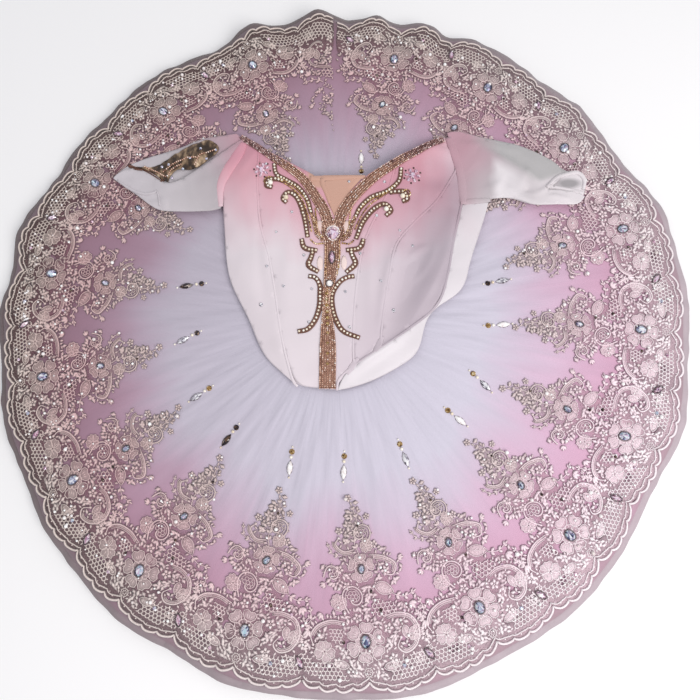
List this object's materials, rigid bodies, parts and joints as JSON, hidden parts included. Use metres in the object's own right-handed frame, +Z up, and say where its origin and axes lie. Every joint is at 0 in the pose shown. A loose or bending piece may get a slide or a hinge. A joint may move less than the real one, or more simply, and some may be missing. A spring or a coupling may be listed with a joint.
{
  "type": "ballet tutu",
  "caption": "Classical pancake ballet tutu laid flat: stiff round net plate with a scalloped lace border, and a beaded bodice with sheer sleeves folded back over it.",
  "frame": {"origin": "on the table, under the middle of the hips and of the round plate", "axes": "+Z up out of the table, -Y towards the wearer's front edge of the plate, +X to the right as the front is seen; the bodice lies towards +Y"},
  "size_m": [1.003, 1.0096, 0.065],
  "materials": {
    "net_hidden": "stacked hidden tulle layers, pale mauve",
    "net_mauve": "stiff mauve-brown net, cut edge",
    "net_ombre": "soft tulle dyed from pale blue at the hips to mauve pink at the rim",
    "lace_blush": "corded embroidered lace, blush ivory thread",
    "satin_ombre": "matt satin dyed from white at the waist to pink at the neckline",
    "insert_nude": "nude stretch net over lining",
    "chiffon": "sheer grey-white chiffon",
    "braid_bronze": "rose-bronze metallic braid with seed beads",
    "beaded_bronze": "dark bronze cord set with cream-gold pearls",
    "crystal_pink": "faceted pink and clear stones in rhinestone rims",
    "knit_white": "matt stretch knit"
  },
  "bodies": {
    "root": {"knickers": "knit_white", "net_under": "net_hidden", "net_edge": "net_mauve", "net_top": "net_ombre", "lace_border": "lace_blush", "bodice_front_centre": "satin_ombre", "bodice_front_left": "satin_ombre", "bodice_front_right": "satin_ombre", "bodice_side_right": "satin_ombre", "bodice_side_back_right": "satin_ombre", "bodice_back": "satin_ombre", "neck_insert": "insert_nude", "neck_trim_left": "braid_bronze", "neck_trim_right": "braid_bronze", "centre_braid": "braid_bronze", "sleeve_left_under": "chiffon", "sleeve_left_over": "chiffon", "sleeve_right_under": "chiffon", "sleeve_right_over": "chiffon", "armlet_left": "beaded_bronze", "jewel_centre": "crystal_pink", "jewel_navette": "crystal_pink", "jewel_round": "crystal_pink", "scroll_upper_left": "beaded_bronze", "scroll_upper_right": "beaded_bronze", "scroll_curl_left": "beaded_bronze", "scroll_curl_right": "beaded_bronze", "scroll_second_left": "beaded_bronze", "scroll_second_right": "beaded_bronze", "scroll_middle_left": "beaded_bronze", "scroll_middle_right": "beaded_bronze", "scroll_hook_left": "beaded_bronze", "scroll_hook_right": "beaded_bronze", "scroll_lower_left": "beaded_bronze", "scroll_lower_right": "beaded_bronze"}
  },
  "joints": []
}
